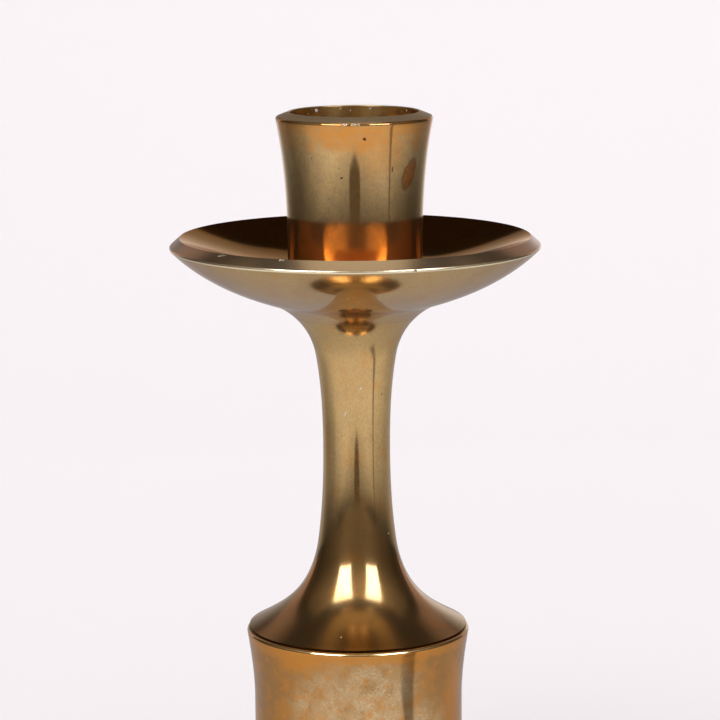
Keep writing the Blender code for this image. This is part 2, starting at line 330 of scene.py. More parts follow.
class Patina:
    """The layers of an old brass surface: its colour, its gloss and its small dents.

    edge is the tint of the brass where it is seen at a glancing angle, and haze is how much of
    the light the fine wear scatters widely, which greys the darkest reflections a little.
    """

    def __init__(self, name, colour, roughness, edge=(1.0, 1.0, 1.0, 1.0), haze=0.09):
        self.material, self.tree = new_material(name)
        place = node(self.tree, "ShaderNodeTexCoord")
        self.upward = node(self.tree, "ShaderNodeSeparateXYZ", {}, {0: place.outputs["Normal"]}).outputs["Z"]
        self.place = node(self.tree, "ShaderNodeVectorMath", {"operation": "SCALE"},
                          {0: place.outputs["Object"], "Scale": 1 / MM}).outputs[0]
        self.height = node(self.tree, "ShaderNodeSeparateXYZ", {}, {0: self.place}).outputs["Z"]
        level = vectors(self.tree, "MULTIPLY", self.place, (1, 1, 0))
        self.radius = vectors(self.tree, "LENGTH", level, result="Value")
        self.colour = tuple(colour)
        self.roughness = roughness
        self.metallic = 1.0
        self.relief = 0.0
        self.edge = edge
        self.haze = haze

    def fade(self, value, low, high):
        """A mask that rises smoothly from 0 to 1 as the value goes from low to high."""
        return smooth(self.tree, value, low, high)

    def both(self, first, second):
        """A mask that is strong only where both masks are."""
        return maths(self.tree, "MULTIPLY", first, second)

    def clouds(self, size, low, high, seed=0.0, detail=4.0, stretch=(1, 1, 1), tilt=0.0):
        """Cloudy patches of this size in millimetres, drawn out by stretch and tilted in degrees."""
        tilted = node(self.tree, "ShaderNodeVectorRotate", {"rotation_type": "Y_AXIS"},
                      {"Vector": self.place, "Angle": math.radians(tilt)}).outputs[0]
        drawn_out = vectors(self.tree, "DIVIDE", tilted, stretch)
        noise = node(self.tree, "ShaderNodeTexNoise", {"noise_dimensions": "4D"},
                     {"Vector": drawn_out, "Scale": 1 / size, "Detail": detail, "W": seed})
        return self.fade(noise.outputs[0], low, high)

    def scratches(self, where, colour, strength):
        """Fine wiping scratches, a tenth of a millimetre wide and some millimetres long."""
        for seed, tilt in ((1.7, 20.0), (4.2, 68.0), (8.8, -35.0), (12.1, -80.0)):
            lines = self.clouds(0.09, 0.52, 0.64, seed, 0.0, (1, 1, 30), tilt)
            patches = self.both(where, self.clouds(3.0, 0.45, 0.6, seed + 30.0))
            self.stain(self.both(lines, patches), colour, strength)

    def band(self, low, high, soft, ragged=0.0):
        """A level band between two heights, its edges wandering by as much as ragged."""
        noise = node(self.tree, "ShaderNodeTexNoise", {}, {
            "Vector": self.place, "Scale": 0.45, "Detail": 5.0}).outputs[0]
        height = maths(self.tree, "MULTIPLY_ADD", noise, 2 * ragged, self.height)
        return self.both(self.fade(height, low + ragged - soft, low + ragged + soft),
                         self.fade(height, high + ragged + soft, high + ragged - soft))

    def mark(self, centre, along, width, ragged=0.3, soft=0.25):
        """A ragged oval round a point; it reaches as far as along, and as far as width across it."""
        length = Vector(along).length
        spread = vectors(self.tree, "SUBTRACT", self.place, centre)
        run = vectors(self.tree, "DOT_PRODUCT", spread, Vector(along) / length ** 2, result="Value")
        off = vectors(self.tree, "CROSS_PRODUCT", spread, Vector(along) / length / width)
        aside = vectors(self.tree, "LENGTH", off, result="Value")
        both = node(self.tree, "ShaderNodeCombineXYZ", {}, {0: run, 1: aside}).outputs[0]
        reach = vectors(self.tree, "LENGTH", both, result="Value")
        noise = node(self.tree, "ShaderNodeTexNoise", {}, {
            "Vector": self.place, "Scale": 0.8 / width, "Detail": 3.0}).outputs[0]
        ragged_reach = maths(self.tree, "MULTIPLY_ADD", noise, 2 * ragged, reach)
        return self.fade(ragged_reach, 1 + ragged + soft, 1 + ragged - soft)

    def stain(self, mask, colour=None, strength=1.0, roughness=None, metallic=None):
        """Lay a stain by a mask: its colour, and how rough and how metallic it leaves the brass."""
        amount = self.both(mask, strength)
        if colour is not None:
            self.colour = node(self.tree, "ShaderNodeMix", {"data_type": "RGBA"},
                               {0: amount, 6: self.colour, 7: tuple(colour)}).outputs[2]
        if roughness is not None:
            self.roughness = node(self.tree, "ShaderNodeMix", {}, {
                0: mask, 2: self.roughness, 3: roughness}).outputs[0]
        if metallic is not None:
            self.metallic = node(self.tree, "ShaderNodeMix", {}, {
                0: amount, 2: self.metallic, 3: metallic}).outputs[0]

    def dent(self, mask, depth):
        """Press the surface in by this many millimetres where the mask is strong."""
        self.relief = maths(self.tree, "MULTIPLY_ADD", mask, -depth, self.relief)

    def nick(self, mask, colour, strength, depth, roughness=None):
        """A small dent or pit that the mask outlines, with its own colour."""
        self.stain(mask, linear(colour), strength, roughness)
        self.dent(mask, depth)

    def wear_in(self, finish, umber=0.15, film=0.12):
        """What every brass piece has: brown and grey films, a fine grain, pits and turning lines."""
        self.stain(self.clouds(7.0, 0.42, 0.62, 3.1), finish.umber, umber)
        self.stain(self.clouds(2.2, 0.45, 0.70, 11.3, 6.0), finish.film, film, roughness=0.12)
        self.stain(self.clouds(0.35, 0.42, 0.65, 27.0, 3.0, (1, 1, 1.5)), finish.umber, 0.24)
        cells = node(self.tree, "ShaderNodeTexVoronoi", {}, {"Vector": self.place, "Scale": 0.42})
        chosen = node(self.tree, "ShaderNodeSeparateColor", {}, {0: cells.outputs["Color"]}).outputs[0]
        pits = self.both(self.fade(cells.outputs["Distance"], 0.075, 0.04), self.fade(chosen, 0.80, 0.84))
        self.nick(pits, "614A30", 0.7, 0.03)
        turning = self.clouds(0.12, 0.3, 0.7, 6.1, 2.0, stretch=(60, 60, 1))
        self.dent(turning, 0.00025)

    def close(self):
        """Join the layers into the finished material."""
        bump = node(self.tree, "ShaderNodeBump", {}, {
            "Height": self.relief, "Strength": 1.0, "Distance": MM})
        shader = node(self.tree, "ShaderNodeBsdfPrincipled", {}, {
            "Base Color": self.colour, "Metallic": self.metallic, "Roughness": self.roughness,
            "Specular Tint": self.edge, "Normal": bump.outputs[0]})
        haze = node(self.tree, "ShaderNodeBsdfPrincipled", {}, {
            "Base Color": self.colour, "Metallic": self.metallic, "Roughness": 0.45,
            "Specular Tint": self.edge})
        film = node(self.tree, "ShaderNodeMixShader", {}, {
            0: self.haze, 1: shader.outputs[0], 2: haze.outputs[0]})
        node(self.tree, "ShaderNodeOutputMaterial", {}, {"Surface": film.outputs[0]})
        return self.material


def cup_brass(finish):
    """Cup: bright brass, an orange heat bloom below the lip, a copper blotch, old wax in the mouth."""
    patina = Patina("tarnished brass, cup", finish.brass, finish.roughness)
    patina.wear_in(finish)
    outside = patina.fade(patina.radius, 11.5, 11.6)
    inside = patina.fade(patina.radius, 11.6, 11.5)

    # The heat bloom: a ragged orange belt below the lip, and orange near the foot.
    bloom = patina.both(patina.band(134.2, 140.0, 1.8, ragged=3.6), patina.clouds(2.6, 0.2, 0.75, 2.4, 8.0))
    patina.stain(patina.both(outside, bloom), finish.copper, 0.8)
    patina.stain(patina.both(outside, patina.band(136.9, 138.6, 0.5, ragged=1.0)), finish.copper, 0.5)
    patina.stain(patina.mark((-1.5, -13.0, 136.4), (6.5, 0.0, 0.0), 1.9, 0.6, 0.6), finish.copper, 0.6)
    patina.stain(patina.mark((4.5, -12.2, 133.0), (4.0, 1.0, 0.0), 3.0, 0.7, 0.8), finish.copper, 0.45)
    patina.stain(patina.both(outside, patina.fade(patina.height, 123.0, 116.0)), finish.copper, 0.4)
    patina.stain(patina.clouds(1.1, 0.42, 0.72, 21.0, 8.0), finish.film, 0.2)

    # The socket is duller, with brown patches, and its mouth edge carries a painted highlight, pale and a
    # little rough.
    socket = patina.both(inside, patina.fade(patina.height, 110.0, 117.0))
    patina.stain(socket, finish.socket, 1.0, roughness=0.2)
    patina.stain(patina.both(socket, patina.clouds(2.6, 0.35, 0.7, 6.0, 5.0)), linear("6E5230"), 0.4)
    # Painted highlight along the inner edge of the mouth.
    mouth = patina.both(inside, patina.fade(patina.height, 139.7, 139.85))
    patina.stain(mouth, linear("F4E2B8"), 0.9, roughness=0.3)

    # The copper blotch has a dark ring, and beside it is a short dark streak.
    ring = patina.mark((9.42, -8.11, 129.86), (0.98, 0.8, 2.55), 1.5, 0.3, 0.15)
    patina.stain(ring, linear("7C5A34"), 0.6)
    blotch = patina.mark((9.42, -8.11, 129.86), (0.86, 0.7, 2.2), 1.2, 0.4, 0.2)
    patina.stain(blotch, finish.blotch, 0.9, roughness=0.2)
    patina.stain(patina.both(blotch, patina.clouds(0.6, 0.45, 0.65, 8.0)), linear("9A5C28"), 0.5)
    patina.stain(patina.mark((6.47, -10.72, 130.87), (0.0, 0.0, 0.5), 0.14), linear("594531"), 0.8)
    for centre, size in CUP_PITS:
        patina.nick(patina.mark(centre, (size, 0.0, 0.0), size, 0.2, 0.3), "453121", 0.9, 0.05)

    # The bevelled lip is grey and dull, with specks of old wax; its nicks are dents with a painted pale
    # glint.
    bevel = patina.both(patina.fade(patina.height, 138.9, 139.0), patina.fade(patina.upward, 0.75, 0.9))
    patina.stain(bevel, finish.grey_patina, 0.95, roughness=0.48)
    for centre, length in LIP_NICKS:
        patina.nick(patina.mark(centre, (length, 0.0, 0.0), 0.22, 0.5, 0.3), "F9EED4", 0.9, 0.12, 0.3)
    for centre, size in WAX_SPECKS:
        wax = patina.mark(centre, (size, 0.1 * size, 0.7 * size), size, 0.7, 0.25)
        patina.stain(wax, linear("E6E8EC"), 0.95, roughness=0.5, metallic=0.0)
        patina.dent(wax, -0.1)
    return patina.close()


def tray_brass(finish):
    """Tray: olive brass below, grey and nicked along the bevel, with a painted highlight along the lip."""
    patina = Patina("tarnished brass, tray", finish.brass, finish.roughness, edge=linear("FFFAFF"))
    patina.wear_in(finish, umber=0.25)

    # Grey film all over, duller near the rim and round the stem, with pinkish clouds.
    patina.stain(1.0, finish.film, 0.16)
    patina.stain(patina.fade(patina.radius, 27.0, 30.0), roughness=0.14)
    patina.stain(patina.fade(patina.radius, 19.0, 15.0), roughness=0.16)
    patina.stain(patina.clouds(3.2, 0.55, 0.68, 4.4), finish.copper, 0.35)

    # The bevel is grey and the lip outside it carries a painted highlight; both have nicks, the pale ones
    # dents with a painted glint.
    bevel = patina.fade(patina.upward, 0.70, 0.72)
    patina.stain(bevel, finish.grey_patina, 0.85, roughness=0.22)
    lip = patina.both(patina.fade(patina.radius, 32.3, 32.4), patina.fade(patina.height, 116.65, 116.55))
    patina.stain(lip, linear("FFF0CE"), 0.9, roughness=0.22)
    for centre, along, width in RIM_NICKS:
        patina.nick(patina.mark(centre, along, width, 0.4, 0.3), "F5EEDC", 0.9, 0.06, 0.35)
    chip = patina.mark((9.96, -30.95, 116.35), (0.3, 0.1, 0.12), 0.2, 0.6, 0.3)
    patina.nick(chip, "6B4A26", 0.9, 0.1, 0.3)
    return patina.close()


def dish_brass(finish):
    """Dish: a dark coppery film over the brass, with a painted glow in front of the cup."""
    patina = Patina("coppery brass, dish", finish.dish, finish.roughness + 0.01, linear("FFF0D0"), 0.02)
    patina.stain(patina.clouds(4.0, 0.4, 0.65, 9.2), linear("956539"), 0.4)
    patina.stain(patina.clouds(0.5, 0.5, 0.7, 3.3, 5.0), linear("7A4A22"), 0.3)

    # A painted glow near the cup: a matt bright orange patch that spreads the softboxes' light, in a wider
    # darker brown surround that is painted shade.
    painted_dark_surround = patina.mark((0.0, -24.0, 115.5), (17.0, 0.0, 0.0), 8.0, 0.3, 0.4)
    patina.stain(painted_dark_surround, linear("7A4A18"), 0.65, roughness=0.38)
    painted_glow = patina.mark((0.0, -19.7, 114.4), (9.5, 0.0, 0.0), 3.2, 0.35, 0.5)
    patina.stain(painted_glow, linear("D07C08"), 0.9, roughness=0.9)
    return patina.close()


def stem_brass(finish):
    """Stem: the cleanest brass, browner and duller towards the shoulder, with faint orange clouds."""
    patina = Patina("tarnished brass, stem", finish.brass, finish.roughness, haze=0.06)
    patina.wear_in(finish, umber=0.2)

    # Browner and duller from the neck down, dull under the tray, darkest at the shoulder's front.
    patina.stain(patina.fade(patina.height, 80.0, 62.0), finish.umber, 0.45)
    patina.stain(patina.fade(patina.height, 72.0, 64.0), roughness=0.12)
    patina.stain(patina.fade(patina.height, 60.0, 51.0), roughness=0.2)
    patina.stain(patina.fade(patina.height, 95.0, 99.0), roughness=0.16)
    patina.stain(patina.mark((0.6, -18.4, 49.6), (6.5, 0.0, 0.0), 2.4, 0.3, 0.8), linear("8C6428"), 0.5)

    # Faint orange clouds, drawn out along the neck, and a few nicks: dents with a painted pale glint.
    patina.stain(patina.clouds(3.0, 0.52, 0.68, 6.6, 5.0, stretch=(1, 1, 1.6)), finish.copper, 0.3)
    for centre, along, width in STEM_NICKS:
        patina.nick(patina.mark(centre, along, width, 0.4, 0.3), "F1E7CE", 0.7, 0.03, 0.3)
    return patina.close()


def drum_brass(finish):
    """Drum: orange under its edge and at the side, wiped to a pale scratchy cream in front."""
    patina = Patina("tarnished brass, drum", finish.drum, finish.roughness)
    patina.wear_in(finish, umber=0.2, film=0.1)
    patina.stain(patina.clouds(4.5, 0.42, 0.62, 5.5, 6.0), finish.copper, 0.5)

    # The cream film: faint clouds all round, and a wiped, scratched stretch in front.
    faint = patina.both(patina.clouds(8.0, 0.50, 0.66, 3.3), patina.clouds(1.2, 0.36, 0.60, 13.0, 8.0))
    patina.stain(faint, finish.cream, 0.3)
    front = patina.mark((2.5, -18.8, 35.5), (12.5, 0.0, 0.0), 9.5, 0.6, 0.4)
    wiped = patina.both(front, patina.clouds(2.4, 0.30, 0.60, 14.2, 8.0))
    patina.stain(wiped, finish.cream, 0.85, roughness=0.1)
    patina.stain(patina.both(front, patina.clouds(0.5, 0.50, 0.66, 15.2, 6.0)), linear("BC9C68"), 0.35)
    patina.scratches(front, linear("E6D2AA"), 0.45)

    # Copper shows through it in flecks, in a belt under the edge and at both sides.
    patina.stain(patina.clouds(1.6, 0.56, 0.66, 18.0, 7.0), finish.copper, 0.5)
    patina.stain(patina.band(45.9, 50.0, 0.6, ragged=1.2), finish.copper, 0.7, roughness=0.12)
    patina.stain(patina.mark((-11.0, -15.6, 45.8), (3.4, -2.6, 0.0), 2.2, 0.6, 0.5), finish.copper, 0.9)
    patina.stain(patina.mark((17.0, -8.0, 37.0), (0.0, 0.0, 7.0), 3.0, 0.6, 0.6), finish.copper, 0.9)

    # The rounded edge carries a painted highlight, pale and glossy, and the seam above it painted shade,
    # dark and dull.
    # Painted highlight on the rounded top edge.
    edge = patina.both(patina.fade(patina.height, 47.5, 47.65), patina.fade(patina.upward, 0.99, 0.9))
    patina.stain(edge, linear("E2C996"), 0.9, roughness=0.1)
    # Painted shade on the top rim under the shoulder.
    seam = patina.both(patina.fade(patina.height, 47.5, 47.9), patina.fade(patina.upward, 0.97, 0.995))
    patina.stain(seam, linear("3A2A16"), 0.9, roughness=0.4)
    return patina.close()


def plated_steel(name):
    """Zinc-plated mild steel: satin, slightly blue-grey, with faint crystals in the plating."""
    material, tree = new_material(name)
    place = node(tree, "ShaderNodeTexCoord").outputs["Object"]
    cells = node(tree, "ShaderNodeTexVoronoi", {}, {"Vector": place, "Scale": 1 / (0.8 * MM)})
    colour = node(tree, "ShaderNodeMix", {"data_type": "RGBA"}, {
        0: cells.outputs["Distance"], 6: linear("A9ADB2"), 7: linear("8B8E90")}).outputs[2]
    roughness = node(tree, "ShaderNodeMapRange", {}, {
        "Value": cells.outputs["Distance"], "To Min": 0.28, "To Max": 0.42}).outputs[0]
    shader = node(tree, "ShaderNodeBsdfPrincipled", {}, {
        "Base Color": colour, "Metallic": 1.0, "Roughness": roughness})
    node(tree, "ShaderNodeOutputMaterial", {}, {"Surface": shader.outputs[0]})
    return material


def wool_felt(name, colour):
    """Pressed wool felt: matt matted fibres about 0.3 mm apart, with a soft sheen."""
    material, tree = new_material(name)
    place = node(tree, "ShaderNodeTexCoord").outputs["Object"]
    fibres = node(tree, "ShaderNodeTexNoise", {}, {
        "Vector": place, "Scale": 1 / (0.3 * MM), "Detail": 6.0, "Roughness": 0.8})
    shade = node(tree, "ShaderNodeMix", {"data_type": "RGBA"}, {
        0: fibres.outputs[0], 6: tuple(0.5 * c for c in colour[:3]) + (1.0,), 7: tuple(colour)}).outputs[2]
    bump = node(tree, "ShaderNodeBump", {}, {
        "Height": fibres.outputs[0], "Strength": 0.8, "Distance": 0.2 * MM})
    shader = node(tree, "ShaderNodeBsdfPrincipled", {}, {
        "Base Color": shade, "Roughness": 0.95, "Sheen Weight": 0.4, "Normal": bump.outputs[0]})
    node(tree, "ShaderNodeOutputMaterial", {}, {"Surface": shader.outputs[0]})
    return material


def wear(piece, material, cad_node):
    """Give a finished piece its material and its body, and hide the frame node it stands for."""
    piece.data.materials.append(material)
    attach(piece, "root")
    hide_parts(cad_node)


class CANDLESTICK_OT_candle_cup(bpy.types.Operator):
    """Turn the candle cup, with its socket, bevelled lip and spigot"""

    bl_idname = "candlestick.candle_cup"
    bl_label = "Candle Cup"

    def execute(self, context):
        sizes = context.scene.candlestick_sizes
        mouth = sizes.mouth_radius / MM
        floor_height = LIP_HEIGHT - sizes.socket_depth / MM
        foot_height = DISH_FLOOR + sizes.seam / MM
        lip_lean = math.degrees(math.atan2(CUP_EDGE[0] - mouth, LIP_HEIGHT - CUP_EDGE[1]))
        edge = sizes.edge_round / MM
        outline = chain(
            [point(0, floor_height), point(SOCKET_FLOOR_RADIUS - SOCKET_FLOOR_ROUND, floor_height)],
            rounded((SOCKET_FLOOR_RADIUS, floor_height, UPWARD), OUTWARD, SOCKET_FLOOR_ROUND),
            rounded((mouth, LIP_HEIGHT, lip_lean), UPWARD, LIP_ROUND),
            rounded(CUP_EDGE, lip_lean, edge),
            flow(moved(CUP_EDGE, edge), CUP_WAIST, LONG_CURVE),
            [point(CUP_WAIST[0], foot_height)],
            [point(SPIGOT_RADIUS, foot_height), point(SPIGOT_RADIUS, node_bottom("candle_cup"))],
            [point(0, node_bottom("candle_cup"))],
        )
        cup = turned("candle_cup_turned", outline, sizes.facets)
        finish = context.scene.candlestick_finish
        wear(cup, cup_brass(finish), "candle_cup")
        return {"FINISHED"}


class CANDLESTICK_OT_drip_tray(bpy.types.Operator):
    """Turn the drip tray, with its bevelled rim, dish and rounded underside"""

    bl_idname = "candlestick.drip_tray"
    bl_label = "Drip Tray"

    def execute(self, context):
        sizes = context.scene.candlestick_sizes
        edge = sizes.edge_round / MM
        bevel_lean = math.degrees(math.atan2(RIM_OUTER[0] - RIM_INNER[0], RIM_INNER[1] - RIM_OUTER[1]))
        dish = flow(RIM_INNER, DISH_FOOT, LONG_CURVE)
        dish.reverse()
        outline = chain(
            rounded(RIM_OUTER, bevel_lean, edge),
            flow(moved(RIM_OUTER, edge), TRAY_TURN, LONG_CURVE),
            flow(TRAY_TURN, TRAY_SEAM, SHORT_CURVE),
            [point(HUB_RADIUS, TRAY_SEAM[1]), point(HUB_RADIUS, DISH_FLOOR)],
            dish,
        )
        tray = turned("drip_tray_turned", outline, sizes.facets, closed=True)
        finish = context.scene.candlestick_finish
        wear(tray, tray_brass(finish), "drip_tray")
        tray.data.materials.append(dish_brass(finish))
        for face in tray.data.polygons:
            face.material_index = int(face.normal.z > DISH_LEAST_RISE)
        return {"FINISHED"}


class CANDLESTICK_OT_stem(bpy.types.Operator):
    """Turn the stem, from the tray's seam down to the shoulder's edge"""

    bl_idname = "candlestick.stem"
    bl_label = "Stem"

    def execute(self, context):
        sizes = context.scene.candlestick_sizes
        top = moved(TRAY_SEAM, sizes.seam / MM / math.cos(math.radians(TRAY_SEAM[2])))
        foot_height = node_top("base_drum") + sizes.seam / MM
        outline = chain(
            [point(ROD_HOLE_RADIUS, top[1])],
            flow(top, NECK_TOP, CURVE),
            flow(NECK_TOP, NECK_WAIST, CURVE),
            flow(NECK_WAIST, NECK_FLARE, CURVE),
            flow(NECK_FLARE, SHOULDER_TURN, SHOULDER_CURVE),
            flow(SHOULDER_TURN, SHOULDER_END, CURVE),
            [point(SHOULDER_END[0] - SHOULDER_UNDERCUT, foot_height), point(ROD_HOLE_RADIUS, foot_height)],
        )
        stem = turned("stem_turned", outline, sizes.facets, closed=True)
        finish = context.scene.candlestick_finish
        wear(stem, stem_brass(finish), "stem")
        return {"FINISHED"}


class CANDLESTICK_OT_base_drum(bpy.types.Operator):
    """Turn the hollow base drum, with its flared and rounded edges"""

    bl_idname = "candlestick.base_drum"
    bl_label = "Base Drum"

    def execute(self, context):
        sizes = context.scene.candlestick_sizes
        edge = sizes.edge_round / MM
        top_round = 1.6 * edge
        top_height = node_top("base_drum")
        bottom_height = node_bottom("base_drum")
        top_edge = (DRUM_EDGE_RADIUS, top_height, -DRUM_FLARE_LEAN)
        foot_edge = (DRUM_EDGE_RADIUS, bottom_height, DRUM_FLARE_LEAN)
        lower_waist = (DRUM_WAIST_RADIUS, bottom_height + DRUM_FLARE_HEIGHT, 0)
        outline = chain(
            [point(ROD_HOLE_RADIUS, top_height)],
            rounded(top_edge, OUTWARD, top_round),
            flow(moved(top_edge, top_round), DRUM_UPPER_WAIST, CURVE),
            flow(lower_waist, moved(foot_edge, -edge), CURVE),
            rounded((DRUM_EDGE_RADIUS, bottom_height, INWARD), DRUM_FLARE_LEAN, edge),
            [point(CAVITY_RADIUS, bottom_height)],
            rounded((CAVITY_RADIUS, CAVITY_CEILING, INWARD + 360.0), UPWARD, CAVITY_ROUND),
            [point(ROD_HOLE_RADIUS, CAVITY_CEILING)],
        )
        drum = turned("base_drum_turned", outline, sizes.facets, closed=True)
        finish = context.scene.candlestick_finish
        wear(drum, drum_brass(finish), "base_drum")
        return {"FINISHED"}


class CANDLESTICK_OT_fasteners(bpy.types.Operator):
    """Give the steel rod, washers and nut their zinc plating"""

    bl_idname = "candlestick.fasteners"
    bl_label = "Rod, Washers and Nut"

    def execute(self, context):
        material = plated_steel("zinc-plated steel")
        for name in ("tie_rod", "flat_washer", "spring_washer", "hex_nut"):
            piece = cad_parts[name]
            piece.data.materials.clear()
            piece.data.materials.append(material)
        return {"FINISHED"}


class CANDLESTICK_OT_felt_pad(bpy.types.Operator):
    """Give the felt pad its fibres"""

    bl_idname = "candlestick.felt_pad"
    bl_label = "Felt Pad"

    def execute(self, context):
        material = wool_felt("pressed wool felt", context.scene.candlestick_finish.felt)
        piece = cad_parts["felt_pad"]
        piece.data.materials.clear()
        piece.data.materials.append(material)
        return {"FINISHED"}


def glow(name, radiance):
    """A surface that gives off an even light, for the studio's white and dark cards."""
    material, tree = new_material(name)
    light = node(tree, "ShaderNodeEmission", {}, {"Color": radiance, "Strength": 1.0})
    node(tree, "ShaderNodeOutputMaterial", {}, {"Surface": light.outputs[0]})
    return material


def shaded_glow(name, tint, changes):
    """A surface that gives off light whose strength changes along one or two axes."""
    material, tree = new_material(name)
    place = node(tree, "ShaderNodeTexCoord").outputs["Object"]
    spot = node(tree, "ShaderNodeSeparateXYZ", {}, {0: place}).outputs
    strength = 1.0
    for axis, low, high, stops in changes:
        run = node(tree, "ShaderNodeMapRange", {}, {"Value": spot[axis], "From Min": low, "From Max": high})
        level = ramp(tree, run.outputs[0], stops, top=4.0)
        strength = maths(tree, "MULTIPLY", strength, level)
    light = node(tree, "ShaderNodeEmission", {}, {"Color": tint, "Strength": strength})
    node(tree, "ShaderNodeOutputMaterial", {}, {"Surface": light.outputs[0]})
    return material


def card(name, corners, material, strip=False):
    """A studio card that shows only in the brass, never to the camera or as a shadow."""
    faces = [list(range(len(corners)))]
    if strip:
        last = len(corners) - 1
        faces = [(i, i + 1, last - i - 1, last - i) for i in range(len(corners) // 2 - 1)]
    mesh = bpy.data.meshes.new(name)
    mesh.from_pydata([Vector(corner) for corner in corners], [], faces)
    mesh.materials.append(material)
    board = bpy.data.objects.new(name, mesh)
    bpy.context.scene.collection.objects.link(board)
    board.visible_camera = False
    board.visible_diffuse = False
    board.visible_shadow = False
    board.visible_transmission = False
    return board


def toward(azimuth, elevation, distance, origin=(0.0, 0.0, 0.09)):
    """A point seen from the origin; azimuth 0 is the front, and it grows to the right."""
    turn = math.radians(azimuth)
    rise = math.radians(elevation)
    level = distance * math.cos(rise)
    return Vector(origin) + Vector((level * math.sin(turn), -level * math.cos(turn),
                                    distance * math.sin(rise)))


def curved_card(name, turns, distance, foot, height, material):
    """An upright card bent round the candlestick, from one azimuth to the next."""
    low = [toward(turn, 0, distance, (0, 0, foot)) for turn in turns]
    high = [spot + Vector((0, 0, height)) for spot in reversed(low)]
    card(name, low + high, material, strip=True)


def ramp(tree, value, stops, top=2.0):
    """Turn a value from 0 to 1 into a brightness up to top, through (position, brightness) stops."""
    made = node(tree, "ShaderNodeValToRGB", {}, {0: value})
    steps = made.color_ramp.elements
    while len(steps) < len(stops):
        steps.new(1.0)
    for step, (position, brightness) in zip(steps, stops):
        step.position = position
        step.color = (brightness / top, brightness / top, brightness / top, 1.0)
    return maths(tree, "MULTIPLY", made.outputs[0], top)


def cast_shadow(tree, place):
    """The part of its light that the table keeps: less in the shadow, a straight soft-edged band."""
    foot = (0.0, -0.017, 0.0)
    azimuth = 60.5
    turned_place = node(tree, "ShaderNodeVectorRotate", {"rotation_type": "Z_AXIS"}, {
        "Vector": place, "Center": foot, "Angle": math.radians(90 - azimuth)}).outputs[0]
    spot = node(tree, "ShaderNodeSeparateXYZ", {}, {0: turned_place}).outputs
    shade = 0.32
    aside = maths(tree, "ABSOLUTE", maths(tree, "SUBTRACT", spot["Y"], foot[1]))
    beside = smooth(tree, aside, 0.009, 0.0145, shade, 1.0)
    ahead = smooth(tree, spot["X"], 0.070, 0.088)
    return node(tree, "ShaderNodeMix", {"data_type": "FLOAT"}, {0: ahead, 2: 1.0, 3: beside}).outputs[0]


def table_glow():
    """The white table as the brass sees it, with the long shadow the candlestick throws."""
    material, tree = new_material("white table in the brass")
    place = node(tree, "ShaderNodeTexCoord").outputs["Object"]
    spot = node(tree, "ShaderNodeSeparateXYZ", {}, {0: place}).outputs
    side = maths(tree, "ABSOLUTE", spot["X"])
    across = ramp(tree, side, ((0.0, 0.93), (0.2, 0.9), (0.3, 0.76), (0.4, 0.53), (0.5, 0.32),
                               (0.6, 0.18), (0.7, 0.1), (1.0, 0.04)))
    front = -0.75
    back = 1.05
    depth = node(tree, "ShaderNodeMapRange", {}, {
        "Value": spot["Y"], "From Min": front, "From Max": back}).outputs[0]
    along = ramp(tree, depth, [((y - front) / (back - front), level) for y, level in (
        (-0.72, 0.03), (-0.62, 0.13), (-0.5, 0.32), (-0.4, 0.58), (-0.31, 0.98), (-0.1, 1.0),
        (0.0, 0.93), (0.1, 0.73), (0.2, 0.6), (0.4, 0.5), (0.6, 0.6), (0.8, 1.0), (1.0, 1.15))])
    behind = vectors(tree, "DISTANCE", place, (0.0, 0.12, 0.0), result="Value")
    left = vectors(tree, "DISTANCE", place, (-0.42, 0.1, 0.0), result="Value")
    shaded = maths(tree, "MULTIPLY", smooth(tree, behind, 0.12, 0.32, 0.68, 1.0),
                   smooth(tree, left, 0.12, 0.26, 0.68, 1.0))
    white = maths(tree, "MULTIPLY", maths(tree, "MULTIPLY", across, shaded), along)
    level = maths(tree, "MULTIPLY", white, cast_shadow(tree, place))
    light = node(tree, "ShaderNodeEmission", {}, {"Color": linear("FFFCFC"), "Strength": level})
    node(tree, "ShaderNodeOutputMaterial", {}, {"Surface": light.outputs[0]})
    return material


def make_world(scene):
    """A pale room to the camera and a dim warm one to the brass."""
    world = bpy.data.worlds.new("studio room")
    world.use_nodes = True
    tree = world.node_tree
    tree.nodes.clear()
    rays = node(tree, "ShaderNodeLightPath")
    pale = node(tree, "ShaderNodeBackground", {}, {"Color": linear("F3F1F2"), "Strength": 0.9})
    way = node(tree, "ShaderNodeTexCoord").outputs["Generated"]
    rise = node(tree, "ShaderNodeSeparateXYZ", {}, {0: way}).outputs["Z"]
    dark = ramp(tree, rise, ((0.0, 1.0), (0.3, 0.9), (0.55, 0.3), (1.0, 0.3)))
    dim = node(tree, "ShaderNodeBackground", {}, {"Color": linear("4B4138"), "Strength": dark})
    fill = node(tree, "ShaderNodeMixShader", {}, {
        0: rays.outputs["Is Glossy Ray"], 1: pale.outputs[0], 2: dim.outputs[0]})
    node(tree, "ShaderNodeOutputWorld", {}, {"Surface": fill.outputs[0]})
    scene.world = world


